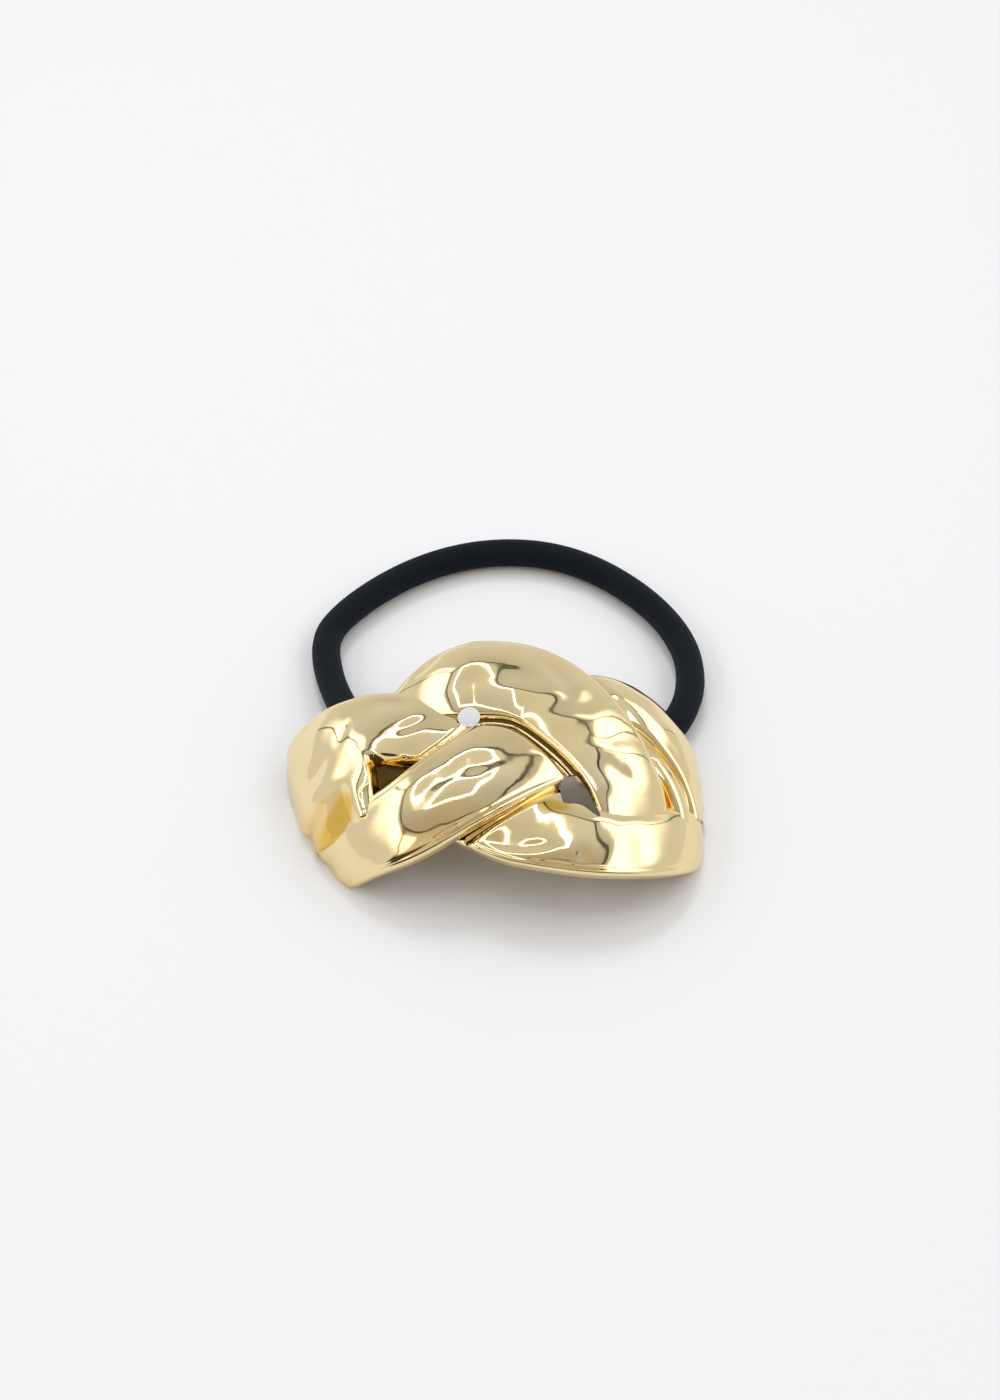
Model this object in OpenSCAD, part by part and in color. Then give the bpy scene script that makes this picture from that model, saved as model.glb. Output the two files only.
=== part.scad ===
// Hair tie: a plaited, arched metal plate with a round elastic loop held in two bails beneath it.
// The plate's ends and the loop rest on the surface z = 0. The front of the plate faces -Y.

/* [Plate] */
// Width of the plate from end to end
plate_w = 57.9; // [50:0.1:66]
// Height of the arch's crest above the surface, before the strands' own crown
arch_h = 15.52; // [13:0.01:19]
// Thickness of the metal
wall = 1.3; // [1:0.1:1.6]
// Thickness of the crossing strand, whose tall edge shows
crossing_wall = 2; // [1.3:0.1:2.4]
// Share of a strand's crown that stands above its centre line
crown_share = 0.4; // [0.2:0.05:0.6]
// How far a strand's outer edges are rounded over
edge_round = 0.5; // [0.2:0.05:0.7]

/* [Elastic] */
// Thickness of the elastic cord
elastic_d = 4.2; // [3.4:0.1:4.4]
// Sides of the cord's section
elastic_sides = 10; // [8:2:12]

/* [Bails] */
// Thickness of the bails' wire
bail_wire = 1.4; // [1:0.1:1.8]
// Air between the elastic and a bail
bail_gap = 0.45; // [0.3:0.05:0.6]

/* [Hidden] */

// The tables below are drawn for a plate of this width, and grow or shrink with plate_w
DRAWN_W = 57.9;
size = plate_w / DRAWN_W;
MIDDLE = [-0.165, 0.37, 0];    // the middle of the drawn plate, which is moved over the origin

// The arch: both ends bow outwards in plan, and the crest falls away to the front and rear
left_end = [-28.8, 8, 24.5];   // [furthest x, the depth where it is furthest, radius of the bow]
right_end = [28.4, 1, 55];
crest_y = 5;                   // depth at which the crest is highest
crest_bow = 46;                // radius of the crest from front to rear

// Columns of a strand's rows. The angle runs along the arch: 0 at the crest, 90 at the right end.
ANGLE = 0;    // place along the arch, in degrees
DEPTH = 1;    // place from front (-) to rear (+)
WIDTH = 2;    // width across the strand
LIFT = 3;     // height above the arch, where it passes over (+) or under (-) another strand
CROWN = 4;    // how much the middle stands above the edges

// From the left lobe under the front-left strand to the front right
LEFT_TO_FRONT = [
    [-89,   1.8, 15.4, -0.2, 0.8],
    [-64,   1.4, 18.0, -0.1, 1.2],
    [-46,   2.0, 17.4,  0.0, 1.6],
    [-33,   1.4, 17.6, -0.3, 1.6],
    [-24,  -1.0, 16.2, -1.0, 1.2],
    [-16,  -5.7, 13.8, -1.3, 1.0],
    [ -6, -10.0, 13.4, -1.3, 1.0],
    [  4, -12.0, 13.6, -1.0, 1.0],
    [ 14, -13.5, 11.4, -0.5, 1.3],
    [ 28, -13.9, 10.8,  0.0, 1.4],
    [ 48, -12.6,  9.8,  0.0, 1.2],
    [ 66,  -9.6,  9.4,  0.0, 1.0],
    [ 88,  -6.0,  8.0,  0.0, 0.6]
];
// From the front-left corner up over the first strand, to its end beneath the crossing strand
FRONT_LEFT = [
    [-89,  -8.6, 10.3,  0.0, 0.6],
    [-68, -10.8, 10.5,  0.3, 1.0],
    [-50, -11.4, 10.5,  0.8, 1.3],
    [-34, -10.5, 12.1,  1.0, 1.5],
    [-19,  -8.0, 13.2,  0.8, 1.5],
    [ -6,  -5.0, 13.6,  0.3, 1.4],
    [  8,  -0.9, 14.4, -0.6, 1.2],
    [ 19,   1.8, 12.8, -1.7, 1.0],
    [ 28,   4.0, 10.0, -2.0, 0.8]
];
// The wide strand from the rear left, over the others, down into the right end
CROSSING = [
    [-27,   8.8,  7.5, -0.8, 1.0],
    [-15,  11.2, 11.8,  0.7, 1.6],
    [ -3,  12.2, 14.6,  1.6, 2.0],
    [  8,  10.4, 15.4,  2.0, 2.0],
    [ 17,   5.8, 14.8,  2.1, 1.8],
    [ 27,   0.6, 12.8,  2.0, 1.6],
    [ 35,  -4.6, 11.0,  1.4, 1.4],
    [ 42,  -8.8, 10.8,  0.3, 1.2],
    [ 49, -12.5, 10.0, -1.8, 0.8]
];
// The narrow ridge between the crossing strand and the rear one
REAR_INNER = [
    [ 36,   7.0,  5.0, -0.6, 0.8],
    [ 46,   3.5,  5.0,  0.4, 0.9],
    [ 56,  -1.0,  5.0,  0.5, 0.9],
    [ 67,  -6.0,  4.8,  0.0, 0.7],
    [ 76, -10.0,  4.5, -1.0, 0.5]
];
// The outer strand at the rear right, from beneath the crossing strand to the right end
REAR_RIGHT = [
    [ 20,  11.0,  6.0, -1.4, 1.0],
    [ 31,  12.2,  8.0, -0.5, 1.2],
    [ 43,  11.6,  9.4,  0.1, 1.5],
    [ 57,   8.7,  9.4,  0.2, 1.4],
    [ 72,   3.8,  8.9,  0.2, 1.2],
    [ 88,  -2.5,  8.0,  0.0, 0.8]
];
STRANDS = [LEFT_TO_FRONT, FRONT_LEFT, REAR_INNER, REAR_RIGHT];
steps_per_row = 4;

// Columns of the section's rows: the place across (-1 to 1) and the share of edge_round there
ACROSS = 0;
ROUNDED = 1;
SECTION = [
    [-1, 1], [-0.94, 0.2], [-0.78, 0], [-0.6, 0], [-0.4, 0], [-0.2, 0],
    [0, 0],
    [0.2, 0], [0.4, 0], [0.6, 0], [0.78, 0], [0.94, 0.2], [1, 1]
];

// The elastic's centre line, chosen by hand: out of the left bail, round behind the plate on the
// surface, into the right bail and back beneath the plate. The last point joins the first.
floor_z = elastic_d / 2;
bail_z = 8.5;
ROUTE = [
    [ -9.4,  2.5, bail_z],
    [-13.2,  4.2, 7.9],
    [-16.3,  7.2, 6.2],
    [-19.0, 11.8, 4.2],
    [-21.5, 17.6, 2.8],
    [-23.6, 23.6, floor_z],
    [-24.8, 29.6, floor_z],
    [-24.6, 34.2, floor_z],
    [-22.4, 38.4, floor_z],
    [-18.2, 43.4, floor_z],
    [-12.4, 48.3, floor_z],
    [ -5.4, 51.8, floor_z],
    [  1.6, 53.0, floor_z],
    [  8.6, 52.2, floor_z],
    [ 15.2, 48.9, floor_z],
    [ 20.6, 44.0, floor_z],
    [ 25.0, 38.3, floor_z],
    [ 27.8, 31.8, floor_z],
    [ 28.6, 25.4, floor_z],
    [ 27.5, 18.6, floor_z],
    [ 24.1, 12.6, floor_z],
    [ 20.2,  8.2, 2.9],
    [ 16.6,  4.6, 6.0],
    [ 11.6,  1.8, bail_z],
    [  5.6,  0.8, 8.7],
    [ -0.4,  0.7, 8.7],
    [ -5.2,  1.3, 8.7]
];
rings_per_point = 2;

// Columns of the bails' rows: the route's point that a bail holds, and the height at which its
// wire ends inside the metal above
HELD = 0;
TOP = 1;
BAILS = [
    [ 0, 13.0],
    [23, 11.8]
];

bail_r = elastic_d / 2 + bail_gap + bail_wire / 2;
bail_sides = 6;
bail_turn_sides = 24;

function unit(v) = v / norm(v);

// A smooth curve through p1 and p2, with p0 and p3 as their neighbours
function curve(p0, p1, p2, p3, t) =
    (2 * p1 + (p2 - p0) * t + (2 * p0 - 5 * p1 + 4 * p2 - p3) * t * t
        + (3 * p1 - p0 - 3 * p2 + p3) * t * t * t) / 2;

function row_at(rows, t) =
    let (last = len(rows) - 1, i = min(floor(t), last - 1), p1 = rows[i], p2 = rows[i + 1],
         p0 = i > 0 ? rows[i - 1] : 2 * p1 - p2,
         p3 = i + 2 <= last ? rows[i + 2] : 2 * p2 - p1)
    curve(p0, p1, p2, p3, t - i);

function loop_at(points, t) =
    let (n = len(points), i = floor(t),
         p = curve(points[(i + n - 1) % n], points[i % n], points[(i + 1) % n],
                   points[(i + 2) % n], t - i))
    [p[0] * size, p[1] * size, max(p[2], floor_z)];

// The arch as a surface over its angle and depth
function bow(end, y) = (y - end[1]) * (y - end[1]) / (2 * end[2]);
function arch_left(y) = left_end[0] + bow(left_end, y);
function arch_right(y) = right_end[0] - bow(right_end, y);
function arch_top(y) = arch_h - (y - crest_y) * (y - crest_y) / (2 * crest_bow);
function arch_at(angle, y) = [
    (arch_left(y) + arch_right(y)) / 2 + (arch_right(y) - arch_left(y)) / 2 * sin(angle),
    y,
    arch_top(y) * cos(angle)
];
function arch_normal(angle, y) =
    unit(cross(arch_at(angle + 1, y) - arch_at(angle - 1, y),
               arch_at(angle, y + 0.1) - arch_at(angle, y - 0.1)));

// A strand's sections: the outer face from its right edge to its left, then the inner face back
function lifted(row) = arch_at(row[ANGLE], row[DEPTH])
    + row[LIFT] * arch_normal(row[ANGLE], row[DEPTH]);
function face_height(row, across) = row[CROWN] * (crown_share - across * across);
function section(rows, t, thick) =
    let (row = row_at(rows, t), last = len(rows) - 1, middle = lifted(row),
         along = unit(lifted(row_at(rows, min(t + 0.25, last)))
                      - lifted(row_at(rows, max(t - 0.25, 0)))),
         side = unit(cross(arch_normal(row[ANGLE], row[DEPTH]), along)),
         out = cross(along, side), half = row[WIDTH] / 2)
    concat(
        [for (s = SECTION) middle + s[ACROSS] * half * side
            + (face_height(row, s[ACROSS]) - s[ROUNDED] * edge_round) * out],
        [for (k = [len(SECTION) - 1 : -1 : 0]) let (s = SECTION[k])
            middle + s[ACROSS] * half * side + (face_height(row, s[ACROSS]) - thick) * out]);

// Two triangles for each four-cornered facet
function split(a, b, c, d) = [[a, b, c], [a, c, d]];

module strand(rows, thick = wall) {
    sections = (len(rows) - 1) * steps_per_row + 1;
    across = len(SECTION);
    around = 2 * across;
    last = (sections - 1) * around;
    points = [for (k = [0 : sections - 1]) each section(rows, k / steps_per_row, thick)];
    sides = [for (k = [0 : sections - 2], j = [0 : around - 1]) let (i = (j + 1) % around)
        each split(k * around + j, k * around + i, (k + 1) * around + i, (k + 1) * around + j)];
    first_end = [for (j = [0 : across - 2])
        each split(around - 1 - j, around - 2 - j, j + 1, j)];
    far_end = [for (j = [0 : across - 2])
        each split(last + j, last + j + 1, last + around - 2 - j, last + around - 1 - j)];
    polyhedron(points, concat(sides, first_end, far_end), convexity = 6);
}

// A wire staple: its bend passes under the elastic, and its legs end inside the plate's metal
module bail(place, turn, top) {
    translate(place) rotate([0, 0, turn]) rotate([90, 0, 90]) {
        rotate([0, 0, 180])
            rotate_extrude(angle = 180, $fn = bail_turn_sides)
                translate([bail_r, 0]) circle(d = bail_wire, $fn = bail_sides);
        for (side = [-1, 1])
            translate([side * bail_r, 0, 0]) rotate([-90, 0, 0])
                cylinder(d = bail_wire, h = top - place[2], $fn = bail_sides);
    }
}

// The way the elastic runs at one of the route's points, seen from above
function heading(i) =
    let (n = len(ROUTE), v = ROUTE[(i + 1) % n] - ROUTE[(i + n - 1) % n]) atan2(v[1], v[0]);

module plaited_plate() {
    color([0.90, 0.82, 0.62]) translate(-size * MIDDLE)
        resize([plate_w, 0, 0], auto = [false, true, false])
            intersection() {
                union() {
                    for (rows = STRANDS) strand(rows);
                    strand(CROSSING, crossing_wall);
                    for (b = BAILS) bail(ROUTE[b[HELD]], heading(b[HELD]), b[TOP]);
                }
                translate([-plate_w, -plate_w, 0]) cube([2 * plate_w, 2 * plate_w, plate_w]);
            }
}

module elastic_loop() {
    count = len(ROUTE) * rings_per_point;
    points = [for (k = [0 : count - 1])
        let (t = k / rings_per_point, middle = loop_at(ROUTE, t),
             along = unit(loop_at(ROUTE, t + 0.1) - loop_at(ROUTE, t + len(ROUTE) - 0.1)),
             side = unit(cross(along, [0, 0, 1])), up = cross(side, along))
        for (j = [0 : elastic_sides - 1]) let (a = 360 * j / elastic_sides)
            middle + elastic_d / 2 * (side * sin(a) - up * cos(a))];
    faces = [for (k = [0 : count - 1], j = [0 : elastic_sides - 1])
        let (i = (j + 1) % elastic_sides, next = ((k + 1) % count) * elastic_sides)
        each split(k * elastic_sides + j, k * elastic_sides + i, next + i, next + j)];
    color([0.13, 0.14, 0.16]) translate(-size * MIDDLE) polyhedron(points, faces, convexity = 4);
}

plaited_plate();
elastic_loop();
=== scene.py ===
# %% [markdown]
# # A hair tie: a plaited gold plate on a black elastic
#
# This lesson dresses a small piece of hair jewellery. On the real one, five flat strands of cast
# metal are plaited into an arched plate, and the plate is polished and plated pale gold. A round
# black elastic runs through two wire bails beneath the plate and lies in a loop behind it.
#
# The solids come from a CAD model, which stays hidden under the fine meshes that we make here.
# Both are in the same frame: +X runs along the arch, +Y goes to the loop behind the plate, and
# the object lies on z = 0. Sizes below are in millimetres, and MM turns them to metres.

# %% Load the frame
import math

import bmesh
import bpy
import numpy as np
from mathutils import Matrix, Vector


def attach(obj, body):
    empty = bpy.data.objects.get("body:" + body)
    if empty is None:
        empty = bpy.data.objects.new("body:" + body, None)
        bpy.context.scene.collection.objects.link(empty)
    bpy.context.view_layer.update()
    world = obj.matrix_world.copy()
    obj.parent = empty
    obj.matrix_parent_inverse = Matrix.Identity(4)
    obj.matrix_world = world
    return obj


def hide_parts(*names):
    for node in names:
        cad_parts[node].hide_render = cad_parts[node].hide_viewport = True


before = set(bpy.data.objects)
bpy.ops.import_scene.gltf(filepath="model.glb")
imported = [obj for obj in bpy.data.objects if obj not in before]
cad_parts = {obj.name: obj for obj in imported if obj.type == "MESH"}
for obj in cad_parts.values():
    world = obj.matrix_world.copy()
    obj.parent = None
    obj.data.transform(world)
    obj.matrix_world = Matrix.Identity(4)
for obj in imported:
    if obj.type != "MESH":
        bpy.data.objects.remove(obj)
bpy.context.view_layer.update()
MM = 0.001
scene = bpy.context.scene
print("nodes:", sorted(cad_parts))


# %% [markdown]
# ## Colours and nodes
#
# Colours are easiest to judge as the sRGB hex values of a colour picker, but shaders work with
# linear light, so one function turns one into the other. A second small function adds a node to a
# material, fills in its settings, and joins its inputs to other nodes. Every finish uses both.

# %% Helpers for materials
def linear(hex_colour):
    """An sRGB hex value such as "E9D7A8" as linear red, green, blue and alpha."""
    channels = [int(hex_colour[i:i + 2], 16) / 255 for i in (0, 2, 4)]
    light = [c / 12.92 if c <= 0.04045 else ((c + 0.055) / 1.055) ** 2.4 for c in channels]
    return (*light, 1.0)


def add_node(tree, kind, settings=None, **inputs):
    """Adds a node. An input given as (node, output) is linked, and any other is set."""
    node = tree.nodes.new(kind)
    for key, value in (settings or {}).items():
        setattr(node, key, value)
    for key, value in inputs.items():
        socket = node.inputs[int(key[1:]) if key[1:].isdigit() else key.replace("_", " ")]
        if isinstance(value, tuple) and isinstance(value[0], bpy.types.Node):
            tree.links.new(value[0].outputs[value[1]], socket)
        else:
            socket.default_value = value
    return node


def new_finish(name):
    """A material with nothing but its output, and that output."""
    material = bpy.data.materials.new(name)
    material.use_nodes = True
    material.node_tree.nodes.clear()
    return material, material.node_tree.nodes.new("ShaderNodeOutputMaterial")


print("mid grey:", round(linear("808080")[0], 3), "in linear light")

# %% [markdown]
# ## The camera
#
# The photograph looks down on the hair tie from the front at 44 degrees. A product photographer
# stands well back with a long lens, so the loop behind looks only a little smaller than the plate
# in front. Its round loop and level plate give the height, the distance and the lens.

# %% Camera
CAMERA_TARGET = Vector((0.97, 15.63, 6.0)) * MM
CAMERA_DISTANCE = 300 * MM
CAMERA_ELEVATION = math.radians(44)
FRAME_HEIGHT = 1400                       # the picture's height in pixels
LENS_PIXELS = 2130                        # the lens's focal length in the same pixels
SENSOR_MM = 24
NEAREST, FARTHEST = 0.01, 50              # what the camera sees between, in metres

eye = bpy.data.cameras.new("studio_camera")
eye.sensor_fit = "VERTICAL"
eye.sensor_height = SENSOR_MM
eye.lens = SENSOR_MM * LENS_PIXELS / FRAME_HEIGHT
eye.clip_start, eye.clip_end = NEAREST, FARTHEST
camera = bpy.data.objects.new("studio_camera", eye)
scene.collection.objects.link(camera)
away = Vector((0, -math.cos(CAMERA_ELEVATION), math.sin(CAMERA_ELEVATION)))
camera.location = CAMERA_TARGET + CAMERA_DISTANCE * away
camera.rotation_euler = (math.pi / 2 - CAMERA_ELEVATION, 0, 0)
scene.camera = camera
print("lens", round(eye.lens, 2), "mm")


# %% [markdown]
# ## Curves from a few points
#
# The elastic and every strand are drawn as a few rows of numbers. A Catmull-Rom curve passes
# through all of them. Its bend changes suddenly at each row, which nobody sees on cloth, but a
# mirror shows it as a kink in every reflection. A little blur along the samples takes the kinks
# out and leaves the shape where it was.

# %% Curve through rows
def curve_through(rows, per_row, closed=False):
    """Samples a Catmull-Rom curve through rows, per_row samples to a row."""
    rows = np.asarray(rows, float)
    if closed:
        padded = np.concatenate([rows[-1:], rows, rows[:2]])
        spans = len(rows)
    else:
        padded = np.concatenate([2 * rows[:1] - rows[1:2], rows, 2 * rows[-1:] - rows[-2:-1]])
        spans = len(rows) - 1
    t = np.arange(spans * per_row + (0 if closed else 1)) / per_row
    i = np.minimum(t.astype(int), spans - 1)
    t = (t - i)[:, None]
    before, a, b, after = (padded[i + k] for k in range(4))
    return (2 * a + (b - before) * t + (2 * before - 5 * a + 4 * b - after) * t ** 2
            + (3 * a - before - 3 * b + after) * t ** 3) / 2


def blurred(samples, reach, closed=False):
    """Blurs samples along their curve. The two ends of an open one stay where they are."""
    n = int(3 * reach)
    weights = np.exp(-0.5 * (np.arange(-n, n + 1) / reach) ** 2)
    weights /= weights.sum()
    if closed:
        padded = np.concatenate([samples[-n:], samples, samples[:n]])
    else:
        padded = np.concatenate([2 * samples[:1] - samples[n:0:-1], samples,
                                 2 * samples[-1:] - samples[-2:-n - 2:-1]])
    columns = [np.convolve(column, weights, mode="valid") for column in padded.T]
    return np.stack(columns, 1)


def unit(vectors):
    """Vectors scaled to a length of 1."""
    return vectors / np.linalg.norm(vectors, axis=-1, keepdims=True)


square = [(1, 0), (0, 1), (-1, 0), (0, -1)]
print("a round curve through 4 rows:", len(curve_through(square, 8, closed=True)), "samples")

# %% [markdown]
# ## A mesh from rings
#
# Both the elastic and the strands are lofts: closed rings of points, joined to the next ring by
# rows of four-cornered faces. A Blender curve with a bevel object could loft one fixed profile, but
# a strand's profile changes all along it, so one function makes the mesh from rings of our own. It
# closes a tube with flat caps, or joins its last ring to its first. It can also write a UV map in
# millimetres, so that a material can draw a row of stitches at its real size.

# %% Loft
def loft(name, rings, closed=False, uv_mm=None, second=None, depths=None):
    """An object from rings of points in millimetres, shaped (rings, points, 3). Points marked in
    second start faces that take the object's second material. depths gives each point a value
    that its material can read."""
    count, around = rings.shape[:2]
    shape = bmesh.new()
    points = [[shape.verts.new(p * MM) for p in ring] for ring in rings]
    uv = shape.loops.layers.uv.new("millimetres") if uv_mm is not None else None
    for k in range(count if closed else count - 1):
        for j in range(around):
            ring_next, point_next = (k + 1) % count, (j + 1) % around
            face = shape.faces.new((points[k][j], points[k][point_next],
                                    points[ring_next][point_next], points[ring_next][j]))
            if second is not None and second[j]:
                face.material_index = 1
            if uv:
                corners = ((k, j), (k, j + 1), (k + 1, j + 1), (k + 1, j))
                for corner, (along, across) in zip(face.loops, corners):
                    corner[uv].uv = (across * uv_mm[1], along * uv_mm[0])
    if not closed:
        shape.faces.new(points[0][::-1])
        shape.faces.new(points[-1])
    bmesh.ops.recalc_face_normals(shape, faces=shape.faces)
    mesh = bpy.data.meshes.new(name)
    shape.to_mesh(mesh)
    shape.free()
    if depths is not None:
        mesh.attributes.new("hollow", "FLOAT", "POINT").data.foreach_set("value", depths.ravel())
    mesh.shade_smooth()
    piece = bpy.data.objects.new(name, mesh)
    scene.collection.objects.link(piece)
    return piece


# %% [markdown]
# ## The elastic's route
#
# A hair elastic is a core of thin rubber threads with a knitted sleeve, 4.2 mm thick here, cut to
# length and glued end to end. It runs through the two bails under the plate, comes down to the
# table on both sides and lies in a wide loop. The knit is soft, but the rubber keeps the loop
# springy, so it turns in one smooth curve, with its tightest bend at the left.
#
# We could draw it as a Blender curve with a round bevel. A mesh of our own is better here, because
# the knit is then real relief, and the UV map can follow the stitches.

# %% Elastic: centre line
ELASTIC_D = 4.2
FLOOR_Z = ELASTIC_D / 2
BAIL_Z = 8.5
PLATE_MIDDLE = np.array([-0.165, 0.37, 0])   # the frame's origin, in the tables' own numbers

ROUTE = [
    (-9.4, 2.5, BAIL_Z), (-13.2, 4.2, 7.9), (-16.3, 7.2, 6.2), (-19.0, 11.8, 4.2),
    (-21.5, 17.6, 2.8), (-23.6, 23.6, FLOOR_Z), (-24.8, 29.6, FLOOR_Z), (-24.6, 34.2, FLOOR_Z),
    (-22.4, 38.4, FLOOR_Z), (-18.2, 43.4, FLOOR_Z), (-12.4, 48.3, FLOOR_Z),
    (-5.4, 51.8, FLOOR_Z), (1.6, 53.0, FLOOR_Z), (8.6, 52.2, FLOOR_Z), (15.2, 48.9, FLOOR_Z),
    (20.6, 44.0, FLOOR_Z), (25.0, 38.3, FLOOR_Z), (27.8, 31.8, FLOOR_Z), (28.6, 25.4, FLOOR_Z),
    (27.5, 18.6, FLOOR_Z), (24.1, 12.6, FLOOR_Z), (20.2, 8.2, 2.9), (16.6, 4.6, 6.0),
    (11.6, 1.8, 8.45), (5.6, 0.8, 8.7), (-0.4, 0.7, 8.7), (-5.2, 1.3, 8.7),
]
LEFT_BAIL, RIGHT_BAIL = 0, 23             # the route's points that the bails hold
RINGS_PER_POINT = 22
BLUR_RINGS = 0.45 * RINGS_PER_POINT

route = curve_through(ROUTE, RINGS_PER_POINT, closed=True)
route = blurred(route, BLUR_RINGS, closed=True) - PLATE_MIDDLE
route[:, 2] = np.maximum(route[:, 2], FLOOR_Z)
steps = np.linalg.norm(np.roll(route, -1, 0) - route, axis=1)
ELASTIC_LENGTH = steps.sum()
print("elastic:", round(ELASTIC_LENGTH, 1), "mm long")

# %% [markdown]
# ### The knit
#
# The sleeve is a fine tube of plain knit. Its stitches stand in columns, called wales, that run
# along the elastic, with a thread about half a millimetre thick. That is finer than a pixel of the
# picture, so the wales are drawn 0.8 mm apart, which just shows as a soft texture. Where the two
# ends are glued, under the plate, the sleeve is pressed in a little.

# %% Elastic: mesh
WALES = 16                                # columns of stitches round the elastic
WALE_RELIEF = 0.03
COURSE_MM = 0.9                           # length of a stitch
COURSE_RELIEF = 0.012
AROUND = 64
JOINT_AT = 25.0                           # where the ends are glued, counted in route points
JOINT_WIDTH_MM = 0.5
JOINT_DEPTH = 0.16
JOINT_FILLS = 0.8                         # share of the wales' relief that the glue fills

along_mm = np.concatenate([[0], np.cumsum(steps)[:-1]])
courses = round(ELASTIC_LENGTH / COURSE_MM)
tangent = unit(np.roll(route, -1, 0) - np.roll(route, 1, 0))
side = unit(np.cross(tangent, [0, 0, 1]))
up = np.cross(side, tangent)
turn = 2 * np.pi * np.arange(AROUND) / AROUND
wale = np.cos(WALES * turn)[None, :]
course = np.cos(2 * np.pi * courses * along_mm / ELASTIC_LENGTH)[:, None]
joint_mm = along_mm[int(JOINT_AT * RINGS_PER_POINT)]
joint = np.exp(-((along_mm - joint_mm) / JOINT_WIDTH_MM) ** 2)[:, None]
radius = (ELASTIC_D / 2 - WALE_RELIEF - COURSE_RELIEF
          + WALE_RELIEF * wale * (1 - JOINT_FILLS * joint) + COURSE_RELIEF * course * wale
          - JOINT_DEPTH * joint)
rings = (route[:, None, :] + radius[..., None]
         * (side[:, None, :] * np.sin(turn)[None, :, None]
            - up[:, None, :] * np.cos(turn)[None, :, None]))
rings[..., 2] = np.maximum(rings[..., 2], 0.0)
elastic = loft("elastic_cord", rings, closed=True,
               uv_mm=(ELASTIC_LENGTH / len(route), math.pi * ELASTIC_D / AROUND))
print("elastic:", len(elastic.data.polygons), "faces")

# %% [markdown]
# ### Black knitted polyester
#
# The sleeve is polyester yarn dyed black: matt, with a faint cool sheen where light grazes the
# fibres, and almost no highlight. A diffuse colour of a few per cent, a high roughness and a
# little sheen give that. The bump draws each stitch as a small V, and the colour varies slightly
# from stitch to stitch, as yarn does.

# %% Elastic: finish
YARN = "0C1118"
YARN_WORN = "141A22"
YARN_ROUGHNESS = 0.85
YARN_SHINE = 0.12                         # specular level: dyed yarn has almost no highlight
YARN_SHEEN = 0.04
SHEEN_ROUGHNESS = 0.5
STITCH_MM = math.pi * ELASTIC_D / WALES
KNIT_DEPTH = 0.05 * MM
KNIT_STRENGTH = 0.12
FIBRES_PER_MM = 2.2                       # tufts of fibre, about half a millimetre across
FIBRE_HEIGHT = 1.2                        # beside a stitch's height of 1
WEAR_CHANGES = (0.35, 0.7)                # noise values between which the yarn's colour changes

knit, knit_out = new_finish("black_knitted_polyester")
tree = knit.node_tree
place = add_node(tree, "ShaderNodeUVMap", {"uv_map": "millimetres"})
parts = add_node(tree, "ShaderNodeSeparateXYZ", Vector=(place, "UV"))
across = add_node(tree, "ShaderNodeMath", {"operation": "PINGPONG"},
                  _0=(parts, "X"), _1=STITCH_MM / 2)
slant = add_node(tree, "ShaderNodeMath", {"operation": "ADD"}, _0=(parts, "Y"), _1=(across, 0))
rows = add_node(tree, "ShaderNodeMath", {"operation": "MULTIPLY"},
                _0=(slant, 0), _1=2 * math.pi / (COURSE_MM / 2))
stitch = add_node(tree, "ShaderNodeMath", {"operation": "SINE"}, _0=(rows, 0))
fibre = add_node(tree, "ShaderNodeTexNoise", {"noise_dimensions": "2D"},
                 Vector=(place, "UV"), Scale=FIBRES_PER_MM, Detail=5.0, Roughness=0.65)
relief = add_node(tree, "ShaderNodeMath", {"operation": "MULTIPLY_ADD"},
                  _0=(fibre, "Fac"), _1=FIBRE_HEIGHT, _2=(stitch, 0))
bump = add_node(tree, "ShaderNodeBump", Height=(relief, 0), Strength=KNIT_STRENGTH,
                Distance=KNIT_DEPTH)
tone = add_node(tree, "ShaderNodeMapRange", Value=(fibre, "Fac"), From_Min=WEAR_CHANGES[0],
                From_Max=WEAR_CHANGES[1])
shade = add_node(tree, "ShaderNodeMix", {"data_type": "RGBA"}, Factor=(tone, "Result"),
                 _6=linear(YARN), _7=linear(YARN_WORN))
yarn = add_node(tree, "ShaderNodeBsdfPrincipled", Base_Color=(shade, 2), Normal=(bump, 0),
                Roughness=YARN_ROUGHNESS, Specular_IOR_Level=YARN_SHINE,
                Sheen_Weight=YARN_SHEEN, Sheen_Roughness=SHEEN_ROUGHNESS)
tree.links.new(yarn.outputs[0], knit_out.inputs["Surface"])
elastic.data.materials.append(knit)
print("stitches:", round(STITCH_MM, 2), "mm wide and", COURSE_MM, "mm long")

# %% Elastic: what it is
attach(elastic, "root")
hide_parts("elastic_loop")

# %% [markdown]
# ## The plate's arch
#
# All the strands lie on one arched surface. It is a half ellipse from left to right, its crest
# falls away to the front and rear, and its two ends bow outwards. A place on it is an angle along
# the arch (0 at the crest, 90 at the right end) and a depth from front to rear.
#
# Flat strands could be bent over it with a Curve or a Shrinkwrap modifier. A formula is better
# here, because it gives both a point's place and the direction straight out of the metal.

# %% Arch
ARCH_H = 15.52
LEFT_END = (-28.8, 8, 24.5)               # furthest x, the depth where it is furthest, bow radius
RIGHT_END = (28.4, 1, 55)
CREST_Y = 5
CREST_BOW = 46                            # radius of the crest's fall to the front and rear


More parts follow.
